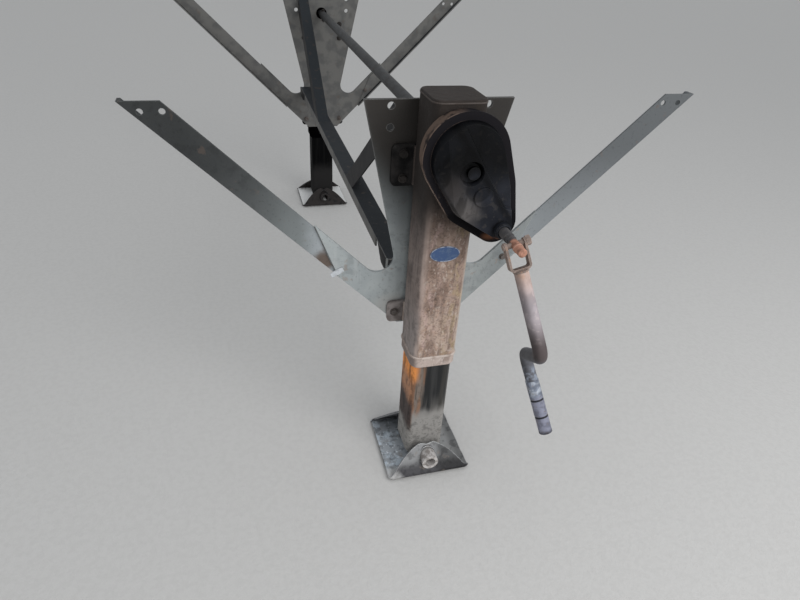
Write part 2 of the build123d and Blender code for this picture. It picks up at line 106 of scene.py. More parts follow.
class Finish:
    def __init__(self, name, look):
        self.material = bpy.data.materials.new(name)
        self.material.use_nodes = True
        self.tree = self.material.node_tree
        shader = self.tree.nodes["Principled BSDF"].inputs
        coords = self.add("ShaderNodeTexCoord")
        self.place = coords.outputs["Object"]
        self.normal = coords.outputs["Normal"]
        self.axes = self.add("ShaderNodeSeparateXYZ", {0: self.place}).outputs
        colour, rough = look["base"], look["rough"]
        for layer in look["layers"]:
            share = self.mask(layer)
            if "colour" in layer:
                colour = self.blend(colour, layer["colour"], share, "MIX")
            if "times" in layer:
                colour = self.blend(colour, (layer["times"],) * 3, share, "MULTIPLY")
            if "rough" in layer:
                node = self.add("ShaderNodeMix", {0: share, 2: rough, 3: layer["rough"]}, data_type="FLOAT")
                rough = node.outputs[0]
        normal = self.softened(shading["round"])
        for scale, depth, *tall in look["bump"]:
            wave = self.noise(scale, *tall)
            normal = self.add("ShaderNodeBump", {"Height": wave, "Distance": depth, "Normal": normal}).outputs[0]
        self.put(shader["Base Color"], colour)
        self.put(shader["Roughness"], rough)
        self.put(shader["Metallic"], look.get("metal", shading["metal"]))
        self.put(shader["Specular IOR Level"], look.get("gloss", shading["gloss"]))
        self.put(shader["Normal"], normal)

    def add(self, kind, inputs=None, **settings):
        node = self.tree.nodes.new(kind)
        for key, value in settings.items():
            setattr(node, key, value)
        for key, value in (inputs or {}).items():
            self.put(node.inputs[key], value)
        return node

    def put(self, socket, value):
        if isinstance(value, bpy.types.NodeSocket):
            self.tree.links.new(value, socket)
        elif isinstance(value, (tuple, list)) and socket.type == "RGBA":
            socket.default_value = (*value, 1)
        else:
            socket.default_value = value

    def calc(self, operation, *values):
        return self.add("ShaderNodeMath", dict(enumerate(values)), operation=operation).outputs[0]

    def vector(self, operation, *values):
        return self.add("ShaderNodeVectorMath", dict(enumerate(values)), operation=operation).outputs

    def blend(self, colour, other, share, kind):
        node = self.add("ShaderNodeMix", {0: share, 6: colour, 7: other}, data_type="RGBA", blend_type=kind)
        return node.outputs[2]

    def ramp(self, value, start, end):
        node = self.add("ShaderNodeMapRange", {0: value, 1: start, 2: end}, interpolation_type="SMOOTHSTEP")
        return node.outputs[0]

    def noise(self, scale, tall=1):
        spread = self.add("ShaderNodeMapping", {"Vector": self.place, "Scale": (scale, scale, scale * tall)})
        inputs = {"Vector": spread.outputs[0], "Scale": 1, "Detail": shading["detail"]}
        return self.add("ShaderNodeTexNoise", inputs).outputs[0]

    def softened(self, radius):
        return self.add("ShaderNodeBevel", {"Radius": radius}, samples=shading["bevelSamples"]).outputs[0]

    def mask(self, layer):
        parts = []
        drift = None
        if "ragged" in layer:
            reach, scale, *tall = layer["ragged"]
            drift = self.calc("MULTIPLY_ADD", self.noise(scale, *tall), 4 * reach, -2 * reach)  # either way
        spans = []
        for axis in ("x", "y", "height"):
            ends = layer.get(axis, ())
            if axis == "height":
                axis, ends = "z", [up(h) for h in ends]
            spans += [(self.axes[axis.upper()], start, end) for start, end in zip(ends[::2], ends[1::2])]
        for way, start, end in layer.get("slope", ()):
            spans.append((self.vector("DOT_PRODUCT", self.place, way)["Value"], start, end))
        for value, start, end in spans:
            if drift:
                value = self.calc("ADD", value, drift)
            parts.append(self.ramp(value, start, end))
        if "ball" in layer:
            centre, size, core = layer["ball"]
            gap = self.vector("SUBTRACT", self.place, centre)["Vector"]
            gap = self.vector("DIVIDE", gap, size)["Vector"]
            gap = self.vector("LENGTH", gap)["Value"]
            if drift:
                gap = self.calc("MULTIPLY_ADD", drift, 1 / size[0], gap)
            parts.append(self.ramp(gap, 1, core))
        if "noise" in layer:
            scale, start, end, *tall = layer["noise"]
            parts.append(self.ramp(self.noise(scale, *tall), start, end))
        if "facing" in layer:
            way, start, end = layer["facing"]
            parts.append(self.ramp(self.vector("DOT_PRODUCT", self.normal, way)["Value"], start, end))
        if "edge" in layer:
            radius, start, end = layer["edge"]
            flat = self.add("ShaderNodeNewGeometry").outputs["Normal"]
            turn = self.vector("DOT_PRODUCT", self.softened(radius), flat)["Value"]
            gap = self.calc("SUBTRACT", shading["edgeStart"], turn)
            gap = self.calc("MULTIPLY_ADD", self.noise(shading["edgeNoise"]), shading["edgeDrift"], gap)
            parts.append(self.ramp(gap, start, end))
        # crevice: the ambient occlusion value; layers use it to paint shade into hollows, creases and gaps, and
        # one uses it to keep a dust line to open edges
        if "crevice" in layer:
            reach, start, end = layer["crevice"]
            gap = self.add("ShaderNodeAmbientOcclusion", {"Distance": reach}, samples=shading["creviceSamples"])
            parts.append(self.ramp(gap.outputs["AO"], start, end))
        share = parts[0]
        for part in parts[1:]:
            share = self.calc("MULTIPLY", share, part)
        if "share" in layer:
            share = self.calc("MULTIPLY", share, layer["share"])
        return share


# Where layers keep to: faces by direction, and edges by radius
leftFace = ((-1, 0, 0), 0.3, 0.8)
outerFace = ((0, -1, 0), 0.3, 0.6)
innerFace = ((0, 1, 0), 0.5, 0.9)
upperFace = ((0, 0, 1), 0.3, 0.8)
topFace = ((0, 0, 1), 0.8, 0.93)
legLeft = ((-1, 0, 0), 0.3, 0.75)
legOther = ((-1, 0, 0), 0.7, 0.3)
wornEdge = (0.003, 0.05, 0.22)
fineEdge = (0.0025, 0.05, 0.22)
sheetEdge = (0.004, 0.04, 0.2)
legY = axisY["near"]

# Looks: linear colours, x and y in metres in the frame, height in millimetres from the ground.
# A bump has a scale and a depth, and a third value that draws it out upwards, as in noise and ragged.
looks = {}
looks["tubeRust"] = dict(base=(0.375, 0.272, 0.222), rough=0.8,
                         bump=[(55, 0.0016, 0.6), (240, 0.0007)], layers=[
    {"height": (640, 450), "colour": (0.53, 0.405, 0.335), "share": 0.9},
    {"noise": (10, 0.4, 0.6), "colour": (0.43, 0.32, 0.265), "share": 0.5},
    {"noise": (21, 0.48, 0.62, 0.4), "colour": (0.18, 0.12, 0.094), "share": 0.65},
    {"noise": (55, 0.5, 0.62, 0.5), "colour": (0.215, 0.145, 0.112), "share": 0.6},
    {"noise": (82, 0.53, 0.62), "height": (760, 560), "colour": (0.5, 0.325, 0.235), "share": 0.32},
    {"noise": (130, 0.57, 0.66, 0.6), "colour": (0.66, 0.575, 0.51), "share": 0.4},
    {"x": (-0.005, 0.045), "noise": (60, 0.48, 0.62, 0.5), "colour": (0.45, 0.345, 0.195), "share": 0.5},
    {"x": (0.01, -0.03), "noise": (48, 0.5, 0.64, 0.5), "colour": (0.56, 0.4, 0.36), "share": 0.5},
    {"noise": (190, 0.52, 0.62), "times": 0.55, "share": 0.65},
    {"noise": (95, 0.54, 0.66, 0.06), "times": 0.55, "share": 0.65},
    # left faces darker: partly the tube's own tone, partly painted shade of the side that gets less light
    {"facing": leftFace, "colour": (0.19, 0.158, 0.146), "share": 0.82},
    {"facing": leftFace, "height": (610, 480), "colour": (0.3, 0.258, 0.242)},
    {"facing": leftFace, "noise": (40, 0.5, 0.62, 0.4), "times": 0.7},
    {"facing": leftFace, "noise": (90, 0.5, 0.62), "times": 0.82},
    {"x": (-0.06, -0.055, -0.04, -0.05), "facing": ((0, -1, 0), 0.2, 0.5), "noise": (34, 0.35, 0.58, 0.3),
     "colour": (0.56, 0.44, 0.385), "share": 0.55},
    {"x": (0.05, 0.057, 0.064, 0.061), "noise": (30, 0.35, 0.6, 0.3), "colour": (0.56, 0.48, 0.43),
     "share": 0.6},
    # painted shade in the hollows
    {"crevice": (0.02, 0.7, 0.4), "times": 0.55},
    # painted shade: near black towards the top, where the gear case and the trailer above shade the tube
    {"height": (660, 880), "ragged": (0.02, 11), "colour": (0.018, 0.014, 0.012), "share": 0.965},
])
looks["collarRust"] = dict(base=(0.52, 0.425, 0.378), rough=0.72, bump=[(70, 0.0012), (260, 0.0005)], layers=[
    {"noise": (32, 0.44, 0.6), "colour": (0.33, 0.252, 0.216), "share": 0.85},
    {"noise": (80, 0.56, 0.66), "colour": (0.66, 0.57, 0.52), "share": 0.6},
    {"noise": (130, 0.55, 0.66), "times": 0.6, "share": 0.6},
    # left faces darker: partly the collar's own tone, partly painted shade of the side that gets less light
    {"facing": leftFace, "colour": (0.19, 0.152, 0.136), "share": 0.85},
    {"edge": wornEdge, "colour": (0.62, 0.55, 0.5), "share": 0.5},
])
looks["bracketRust"] = dict(base=(0.3, 0.268, 0.256), rough=0.75, bump=[(90, 0.0012)], layers=[
    {"noise": (40, 0.45, 0.62), "colour": (0.155, 0.132, 0.124), "share": 0.8},
    {"edge": wornEdge, "colour": (0.33, 0.27, 0.23), "share": 0.35},
    # painted shade in the hollows
    {"crevice": (0.02, 0.75, 0.4), "times": 0.6},
    # painted shade: near black towards the top, under the gear case and the trailer
    {"height": (720, 865), "noise": (26, 0.62, 0.36), "colour": (0.009, 0.006, 0.0055)},
    {"height": (720, 865), "times": 0.09},
])
looks["wingPaint"] = dict(base=(0.4, 0.43, 0.431), rough=0.62, bump=[(30, 0.0008), (200, 0.0004)], layers=[
    {"noise": (8, 0.4, 0.62), "colour": (0.315, 0.345, 0.355), "share": 0.6},
    {"noise": (40, 0.5, 0.64), "times": 0.84},
    {"noise": (60, 0.55, 0.7, 0.1), "colour": (0.48, 0.5, 0.5), "share": 0.35},
    {"x": (0.06, 0.22), "times": 0.62},
    {"noise": (38, 0.63, 0.69), "colour": (0.28, 0.185, 0.13), "share": 0.35},
    {"ball": ((-0.1, 0, up(500)), (0.07, 9, 0.05), 0.2), "ragged": (0.01, 30), "colour": (0.4, 0.38, 0.35),
     "share": 0.5},
    # painted shade in the hollows
    {"crevice": (0.025, 0.72, 0.4), "times": 0.6},
    {"noise": (120, 0.58, 0.68), "times": 0.7, "share": 0.7},
    # painted shade: the plate goes darker, then near black, towards its top, where the trailer above shades it
    {"ball": ((0, 0, up(1010)), (0.3, 9, 0.42), 0.4), "colour": (0.078, 0.084, 0.085), "share": 0.95},
    {"ball": ((0, 0, up(1060)), (0.3, 9, 0.29), 0.55), "colour": (0.027, 0.023, 0.02), "share": 0.97},
    {"edge": wornEdge, "colour": (0.5, 0.51, 0.5), "share": 0.4},
])
looks["armPaint"] = dict(base=(0.17, 0.182, 0.184), rough=0.62, bump=[(30, 0.0008), (200, 0.0004)], layers=[
    {"noise": (8, 0.4, 0.62), "colour": (0.138, 0.15, 0.153), "share": 0.6},
    {"noise": (40, 0.5, 0.64), "times": 0.82},
    {"x": (-0.46, -0.35), "ragged": (0.012, 20), "colour": (0.222, 0.243, 0.245)},
    {"x": (-0.345, -0.285), "ragged": (0.008, 30), "colour": (0.365, 0.392, 0.41)},
    {"ball": ((-0.272, 0, up(652)), (0.046, 9, 0.04), 0.4), "ragged": (0.006, 60),
     "colour": (0.13, 0.1, 0.082)},
    {"x": (0.1, 0.36), "times": 0.62},
    # painted shade: darker higher up, and darker on the front arm, which stands more in shade
    {"height": (700, 940), "times": 0.5},
    {"x": (-0.24, -0.6), "times": 0.42},
    {"noise": (38, 0.63, 0.7), "colour": (0.16, 0.105, 0.075), "share": 0.25},
    {"noise": (120, 0.58, 0.68), "times": 0.7, "share": 0.7},
    {"edge": fineEdge, "colour": (0.22, 0.23, 0.225), "share": 0.35},
])
looks["tiePaint"] = dict(base=(0.15, 0.147, 0.14), rough=0.66, gloss=0.15, bump=[(40, 0.0008)], layers=[
    {"noise": (22, 0.42, 0.62), "colour": (0.1, 0.1, 0.099), "share": 0.8},
    # painted shade: upward faces dark
    {"facing": upperFace, "colour": (0.018, 0.021, 0.025), "share": 0.95},
    {"noise": (45, 0.6, 0.7), "colour": (0.12, 0.095, 0.078), "share": 0.4},
    {"edge": fineEdge, "colour": (0.12, 0.12, 0.116), "share": 0.4},
])
looks["kneePaint"] = dict(looks["tiePaint"], base=(0.028, 0.027, 0.028), layers=[
    {"noise": (22, 0.42, 0.62), "colour": (0.02, 0.02, 0.021), "share": 0.8},
    # painted shade: upward faces dark
    {"facing": upperFace, "colour": (0.022, 0.026, 0.03), "share": 0.9},
    {"noise": (45, 0.6, 0.7), "colour": (0.06, 0.046, 0.038), "share": 0.4},
    {"edge": fineEdge, "colour": (0.05, 0.05, 0.05), "share": 0.4},
])
looks["innerSteel"] = dict(base=(0.007, 0.008, 0.009), rough=0.3, gloss=0.38,
                           bump=[(120, 0.0005, 0.1), (300, 0.0003)], layers=[
    {"noise": (70, 0.46, 0.62, 0.035), "colour": (0.034, 0.034, 0.034), "share": 0.8, "rough": 0.45},
    {"x": (0.02, 0.04), "noise": (60, 0.3, 0.6, 0.05), "colour": (0.054, 0.05, 0.043), "share": 0.8},
    {"x": (-0.017, -0.036), "ragged": (0.01, 44, 0.14), "colour": (0.195, 0.156, 0.13), "rough": 0.7},
    {"x": (-0.013, -0.034), "noise": (64, 0.48, 0.6, 0.08), "ragged": (0.007, 44, 0.14),
     "colour": (0.31, 0.15, 0.078), "share": 0.8, "rough": 0.7},
    {"x": (-0.004, -0.028), "noise": (90, 0.5, 0.64, 0.09), "times": 0.32},
    {"x": (-0.012, -0.032), "noise": (150, 0.5, 0.64, 0.4), "times": 0.7},
    {"x": (-0.027, -0.046), "height": (295, 345), "ragged": (0.01, 40, 0.3), "colour": (0.52, 0.215, 0.08),
     "share": 0.75, "rough": 0.7},
    {"facing": legLeft, "colour": (0.066, 0.046, 0.041), "rough": 0.7},
    {"facing": legLeft, "height": (212, 268), "ragged": (0.014, 25), "colour": (0.45, 0.225, 0.125)},
    {"facing": ((-1, 0, 0), 0.05, 0.6), "height": (292, 338), "ragged": (0.012, 30),
     "colour": (0.84, 0.315, 0.085), "rough": 0.8},
    {"noise": (50, 0.52, 0.62, 0.3), "facing": legLeft, "times": 0.5},
    {"noise": (120, 0.5, 0.64), "facing": legLeft, "times": 0.7},
    {"height": (270, 180), "noise": (60, 0.42, 0.58, 0.07), "facing": legOther, "colour": (0.2, 0.188, 0.175),
     "share": 0.55, "rough": 0.8},
    {"height": (215, 165), "ragged": (0.018, 34, 0.4), "facing": legOther, "colour": (0.292, 0.28, 0.265),
     "rough": 0.9},
    {"height": (150, 110), "ragged": (0.012, 30), "colour": (0.285, 0.272, 0.256), "rough": 0.9},
    {"noise": (50, 0.5, 0.62), "height": (190, 150), "times": 0.7},
    {"noise": (160, 0.54, 0.64), "height": (190, 150), "times": 0.7},
])
looks["shoeSteel"] = dict(base=(0.27, 0.272, 0.275), rough=0.52, metal=0.15,
                          bump=[(26, 0.0018), (160, 0.0007)], layers=[
    {"facing": topFace, "colour": (0.395, 0.425, 0.46), "share": 0.9},
    {"noise": (26, 0.5, 0.6), "facing": topFace, "x": (0.02, -0.05), "colour": (0.62, 0.7, 0.78), "share": 0.8},
    {"noise": (20, 0.54, 0.66), "facing": topFace, "times": 0.5},
    {"noise": (110, 0.6, 0.66), "facing": topFace, "x": (0.02, -0.05), "colour": (0.85, 0.9, 0.95),
     "share": 0.7},
    # painted shade: the back of the pan under the leaning back ear
    {"facing": ((0, 0, 1), 0.3, 0.7), "y": (legY + 0.02, legY + 0.1), "x": (0, -0.05), "ragged": (0.015, 22),
     "times": 0.55},
    {"x": (0, 0.07), "facing": topFace, "colour": (0.335, 0.334, 0.33), "share": 0.9},
    # painted shade: the band along the turned-up right edge
    {"x": (0.085, 0.112), "times": 0.55},
    {"facing": outerFace, "times": 0.92},
    # painted shade: the foot of the front ear
    {"facing": outerFace, "height": (52, 26), "colour": (0.052, 0.05, 0.055), "share": 0.95},
    # painted shadow of the leg on the right part of the front ear
    {"facing": outerFace, "x": (0.015, 0.045), "times": 0.34},
    # painted shade in the slot round the pin
    {"ball": ((0, legY - 0.09, up(58)), (0.026, 0.06, 0.026), 0.75), "facing": outerFace, "ragged": (0.002, 60),
     "colour": (0.03, 0.029, 0.031), "share": 0.9},
    {"noise": (60, 0.5, 0.64), "times": 0.62},
    {"noise": (34, 0.6, 0.7), "colour": (0.26, 0.215, 0.18), "share": 0.4, "rough": 0.8},
    {"ball": ((-0.11, legY - 0.11, up(8)), (0.04, 0.045, 0.025), 0.3), "ragged": (0.008, 60),
     "colour": (0.56, 0.555, 0.545), "share": 0.8},
    # painted shade in the hollows
    {"crevice": (0.03, 0.62, 0.25), "times": 0.3},
    {"edge": sheetEdge, "height": (14, 26), "colour": (0.62, 0.62, 0.63), "share": 0.75, "rough": 0.4},
    {"edge": (0.004, 0.04, 0.18), "height": (70, 76), "colour": (0.8, 0.8, 0.8), "share": 0.9},
    {"edge": sheetEdge, "facing": ((0, -1, 0), 0.5, 0.1), "colour": (0.42, 0.43, 0.45), "share": 0.6},
])
looks["pinSteel"] = dict(base=(0.6, 0.57, 0.552), rough=0.5, metal=0.15, bump=[(90, 0.0008)], layers=[
    {"noise": (60, 0.45, 0.6), "colour": (0.24, 0.212, 0.195), "share": 0.8, "rough": 0.75},
    {"y": (legY - 0.125, legY - 0.112), "times": 0.88},
    {"y": (legY - 0.094, legY - 0.086), "colour": (0.25, 0.24, 0.228), "rough": 0.9},
    # painted shade in the hollows
    {"crevice": (0.02, 0.6, 0.2), "times": 0.35},
    {"edge": (0.003, 0.05, 0.2), "y": (legY - 0.112, legY - 0.118), "colour": (0.72, 0.69, 0.67), "share": 0.7},
])
creaseWay = (0.82, 0, 0.57)  # across the crease of the gear cover


def crease(start, end):
    return creaseWay, ground * creaseWay[2] + start, ground * creaseWay[2] + end


looks["gearPaint"] = dict(base=(0.02, 0.022, 0.029), rough=0.46, gloss=0.1,
                          bump=[(40, 0.0009), (220, 0.0004)], layers=[
    {"noise": (20, 0.42, 0.6), "colour": (0.014, 0.015, 0.019), "share": 0.7, "rough": 0.4},
    {"ball": ((-0.002, 0, up(868)), (0.058, 9, 0.06), 0.1), "ragged": (0.008, 36),
     "colour": (0.122, 0.112, 0.108), "share": 0.85, "rough": 0.7},
    {"ball": ((-0.03, 0, up(925)), (0.05, 9, 0.075), 0.1), "ragged": (0.008, 36),
     "colour": (0.05, 0.044, 0.042), "share": 0.8, "rough": 0.7},
    {"noise": (36, 0.52, 0.64, 0.35), "x": (0.06, 0), "times": 0.5},
    {"noise": (80, 0.56, 0.66), "colour": (0.052, 0.048, 0.047), "share": 0.5, "rough": 0.75},
    {"edge": wornEdge, "y": (-0.19, -0.2), "colour": (0.07, 0.068, 0.071), "share": 0.6},
    # painted shade in the hollows
    {"crevice": (0.018, 0.78, 0.45), "times": 0.25},
    # painted shade: dark rings round the hub recess and round the boss
    {"ball": ((0.026, 0, up(921)), (0.031, 9, 0.031), 0.82), "ragged": (0.0015, 70), "times": 0.55},
    {"ball": ((-0.011, 0, up(984)), (0.042, 9, 0.042), 0.6), "ragged": (0.002, 50), "times": 0.5},
    # painted shade along the step of the crease
    {"slope": [crease(0.557, 0.573), crease(0.583, 0.577)], "times": 0.35},
    {"slope": [crease(0.576, 0.584)], "height": (915, 955), "times": 0.66},
    # painted shade: near black towards the top, under the trailer
    {"height": (900, 980), "ragged": (0.01, 20), "times": 0.22},
    {"y": (-0.1935, -0.1895), "colour": (0.01, 0.009, 0.011), "rough": 0.75},
    {"y": (-0.1905, -0.1885, -0.178, -0.182), "height": (835, 862), "facing": ((-1, 0, 0), 0, 0.5),
     "noise": (60, 0.3, 0.55), "colour": (0.2, 0.14, 0.11), "share": 0.9, "rough": 0.8},
    {"edge": (0.006, 0.02, 0.16), "y": (-0.1895, -0.1891), "x": (0.01, -0.01), "height": (842, 862, 975, 930),
     "crevice": (0.012, 0.72, 0.93), "noise": (60, 0.28, 0.5), "colour": (0.27, 0.198, 0.158), "share": 0.9,
     "rough": 0.8},
    # painted shade: the flange goes darker low down
    {"y": (-0.1935, -0.1895), "height": (862, 845), "times": 0.5, "rough": 0.9},
    {"ball": ((0.084, 0, up(791)), (0.03, 9, 0.016), 0), "ragged": (0.003, 60), "colour": (0.15, 0.066, 0.036),
     "rough": 0.85},
])
looks["casePaint"] = dict(looks["gearPaint"], layers=looks["gearPaint"]["layers"] + [
    {"x": (0.02, -0.04), "height": (850, 885), "noise": (40, 0.3, 0.55), "colour": (0.15, 0.105, 0.082),
     "share": 0.8, "rough": 0.8},
    # painted shade: the case goes darker towards its bottom
    {"height": (885, 850), "times": 0.4},
])
shaftEnd = (legY - 0.206, legY - 0.213)
looks["shaftRust"] = dict(base=(0.084, 0.08, 0.082), rough=0.5, bump=[(120, 0.0008)], layers=[
    {"noise": (90, 0.5, 0.65), "colour": (0.12, 0.108, 0.104), "share": 0.6, "rough": 0.7},
    {"y": shaftEnd, "colour": (0.5, 0.25, 0.175), "rough": 0.8},
    {"y": shaftEnd, "noise": (70, 0.44, 0.6), "colour": (0.24, 0.12, 0.082), "share": 0.7},
    {"y": shaftEnd, "edge": wornEdge, "colour": (0.55, 0.4, 0.33), "share": 0.5},
])
looks["strapRust"] = dict(base=(0.285, 0.22, 0.19), rough=0.72, bump=[(110, 0.0009)], layers=[
    {"noise": (50, 0.42, 0.62), "colour": (0.17, 0.13, 0.112), "share": 0.85},
    {"noise": (130, 0.58, 0.7), "colour": (0.4, 0.24, 0.16), "share": 0.6},
    {"edge": (0.003, 0.05, 0.2), "colour": (0.5, 0.4, 0.35), "share": 0.7},
])
gripSizes = {
    "way": (0.2336, -0.4305, -0.8718),
    "start": 0.736,
    "grooves": (0.0556, 0.1068),
    "groove": 0.0042,
    "soft": 0.0016,
}


def alongGrip(start, end):
    return gripSizes["way"], gripSizes["start"] + start, gripSizes["start"] + end


def groove(start):
    soft, end = gripSizes["soft"], start + gripSizes["groove"]
    return {"slope": [alongGrip(start - soft, start), alongGrip(end + soft, end)],
            "colour": (0.016, 0.016, 0.02), "share": 0.95}


looks["pipeRust"] = dict(base=(0.118, 0.12, 0.136), rough=0.62, bump=[(90, 0.001, 0.7), (260, 0.0004)], layers=[
    {"height": (545, 575), "y": (-0.3, -0.36), "colour": (0.092, 0.073, 0.073)},
    {"height": (606, 684), "colour": (0.425, 0.376, 0.396)},
    {"height": (700, 775), "colour": (0.6, 0.44, 0.375)},
    {"noise": (30, 0.46, 0.6, 0.5), "times": 0.78},
    {"noise": (60, 0.54, 0.66, 0.3), "height": (715, 775), "colour": (0.55, 0.34, 0.24), "share": 0.5},
    {"noise": (90, 0.56, 0.66), "height": (600, 660), "colour": (0.6, 0.52, 0.5), "share": 0.3},
    # painted shade: the left side darker
    {"facing": ((-1, 0, 0), 0.2, 0.9), "times": 0.62},
    # painted highlight: light bluish-white speckles on the pipe before the grip
    {"slope": [alongGrip(-0.05, -0.025)], "noise": (50, 0.44, 0.6), "colour": (0.3, 0.34, 0.41), "share": 0.8},
])
looks["gripSteel"] = dict(base=(0.26, 0.267, 0.34), rough=0.4, metal=0.2, bump=[(90, 0.0006)], layers=[
    {"slope": [alongGrip(0.056, 0.04)], "colour": (0.235, 0.262, 0.325)},
    # painted highlight: white speckles at the start of the grip
    {"slope": [alongGrip(0.052, 0.03)], "noise": (55, 0.48, 0.6), "colour": (0.52, 0.56, 0.62), "share": 0.7},
    {"noise": (45, 0.45, 0.6), "times": 0.66, "rough": 0.55},
    {"noise": (100, 0.58, 0.68), "colour": (0.22, 0.18, 0.16), "share": 0.5, "rough": 0.75},
    {"edge": fineEdge, "colour": (0.36, 0.37, 0.42), "share": 0.5},
    *[groove(start) for start in gripSizes["grooves"]],
    {"slope": [alongGrip(0.146, 0.157)], "times": 0.35},
])
# Far leg: the near-black base is painted shade; the faces that look to +y get rust
looks["farTubeShadeAndRust"] = dict(base=(0.001, 0.0009, 0.0012), rough=0.8, gloss=0, bump=[(55, 0.0014)], layers=[
    {"noise": (18, 0.42, 0.64), "colour": (0.0018, 0.0016, 0.0018), "share": 0.8},
    {"noise": (60, 0.6, 0.72), "colour": (0.006, 0.005, 0.005), "share": 0.5},
    {"facing": innerFace, "colour": (0.15, 0.106, 0.086)},
    {"facing": innerFace, "noise": (24, 0.44, 0.6, 0.4), "colour": (0.07, 0.048, 0.039), "share": 0.8},
    {"facing": innerFace, "noise": (120, 0.52, 0.64), "times": 0.6},
    {"edge": (0.004, 0.05, 0.22), "colour": (0.01, 0.009, 0.009), "share": 0.5},
])
# Far inner tube: the near-black base is painted shade; grey dust low down
looks["farInnerShadeAndDust"] = dict(base=(0.0035, 0.0035, 0.0038), rough=0.5, gloss=0.02,
                              bump=[(120, 0.0005, 0.1)], layers=[
    {"noise": (75, 0.46, 0.64, 0.035), "colour": (0.008, 0.008, 0.008), "share": 0.8},
    {"height": (240, 170), "ragged": (0.012, 30), "colour": (0.024, 0.023, 0.023), "rough": 0.85},
])
# Far shoe: the dark base is painted shade
looks["farShoeShadeAndHighlight"] = dict(base=(0.03, 0.026, 0.025), rough=0.55, gloss=0.1, bump=[(40, 0.0012)], layers=[
    {"noise": (50, 0.5, 0.66), "colour": (0.01, 0.01, 0.011), "share": 0.8},
    {"facing": topFace, "height": (44, 26), "colour": (0.86, 0.86, 0.85)},
    # painted highlight along the bent lip low down
    {"edge": sheetEdge, "height": (24, 18), "colour": (0.5, 0.5, 0.5)},
    {"edge": sheetEdge, "colour": (0.16, 0.16, 0.16), "share": 0.5},
])
looks["darkSteel"] = dict(base=(0.04, 0.041, 0.042), rough=0.6, bump=[(90, 0.0008)], layers=[
    {"noise": (30, 0.45, 0.65), "colour": (0.025, 0.024, 0.024), "share": 0.8},
    {"noise": (80, 0.6, 0.72), "colour": (0.09, 0.065, 0.05), "share": 0.6, "rough": 0.8},
    {"edge": wornEdge, "colour": (0.09, 0.085, 0.08), "share": 0.5},
])
looks["badgeEnamel"] = dict(base=(0.052, 0.096, 0.21), rough=0.5, bump=[(150, 0.0003)], layers=[
    {"noise": (120, 0.5, 0.66), "colour": (0.09, 0.14, 0.235), "share": 0.7},
    {"noise": (200, 0.62, 0.72), "colour": (0.2, 0.22, 0.27), "share": 0.5, "rough": 0.8},
])
looks["rimMetal"] = dict(base=(0.33, 0.36, 0.43), rough=0.5, bump=[(200, 0.0003)], layers=[
    {"noise": (110, 0.42, 0.58), "colour": (0.085, 0.105, 0.17), "share": 0.9, "rough": 0.7},
])
looks["weldRust"] = dict(base=(0.62, 0.53, 0.475), rough=0.7, bump=[(260, 0.0006)], layers=[
    {"noise": (60, 0.42, 0.62), "colour": (0.36, 0.28, 0.235), "share": 0.8},
    # left faces darker: partly the weld's own tone, partly painted shade of the side that gets less light
    {"facing": leftFace, "colour": (0.26, 0.205, 0.18), "share": 0.7},
    # painted shade: near black towards the top, under the gear case and the trailer
    {"height": (720, 880), "colour": (0.04, 0.031, 0.027), "share": 0.93},
])
looks["weldPaint"] = dict(base=(0.245, 0.258, 0.258), rough=0.65, bump=[(260, 0.0006)], layers=[
    {"noise": (70, 0.48, 0.64), "colour": (0.15, 0.14, 0.13), "share": 0.8},
    # painted shade: darker higher up, under the trailer
    {"height": (720, 980), "times": 0.35},
])
looks["boltSteel"] = dict(base=(0.125, 0.108, 0.1), rough=0.6, metal=0.2, bump=[(240, 0.0005)], layers=[
    {"noise": (110, 0.42, 0.62), "colour": (0.08, 0.064, 0.057), "share": 0.8, "rough": 0.8},
    {"edge": (0.002, 0.05, 0.22), "colour": (0.2, 0.17, 0.15), "share": 0.7},
    # painted shade: darker higher up, under the trailer
    {"height": (780, 900), "times": 0.2},
])
looks["tabMetal"] = dict(base=(0.62, 0.65, 0.68), rough=0.45, metal=0.3, bump=[(200, 0.0004)], layers=[
    {"noise": (90, 0.46, 0.64), "colour": (0.44, 0.46, 0.48), "share": 0.8, "rough": 0.6},
    {"edge": (0.0015, 0.05, 0.22), "colour": (0.92, 0.93, 0.95), "share": 0.6},
])
finishes = {name: Finish(name, look) for name, look in looks.items()}
print("materials built:", len(finishes))

# Which finish each node wears
worn = {
    "outer_tube": "tubeRust", "collar": "collarRust", "cap": "tubeRust", "upper_bracket": "bracketRust",
    "lower_bracket": "bracketRust", "wing_plate": "wingPaint", "front_arm": "armPaint", "rear_arm": "armPaint",
    "knee_strut": "kneePaint", "cross_tie": "tiePaint", "inner_tube": "innerSteel", "axle_pin": "pinSteel",
    "shoe": "shoeSteel", "gear_case": "casePaint", "gear_cover": "gearPaint", "badge_plate": "badgeEnamel",
    "crank_shaft": "shaftRust", "crank_yoke": "strapRust", "crank_bolt": "strapRust", "crank_arm": "pipeRust",
    "crank_grip": "gripSteel", "cross_stub": "darkSteel", "cross_shaft": "darkSteel",
}
wornFar = {
    "outer_tube": "farTubeShadeAndRust", "collar": "farTubeShadeAndRust", "cap": "farTubeShadeAndRust",
    "upper_bracket": "farTubeShadeAndRust", "lower_bracket": "farTubeShadeAndRust", "inner_tube": "farInnerShadeAndDust",
    "axle_pin": "farShoeShadeAndHighlight", "shoe": "farShoeShadeAndHighlight", "wing_plate": "tiePaint", "front_arm": "tiePaint",
    "rear_arm": "tiePaint",
}
sharpFrom = 28
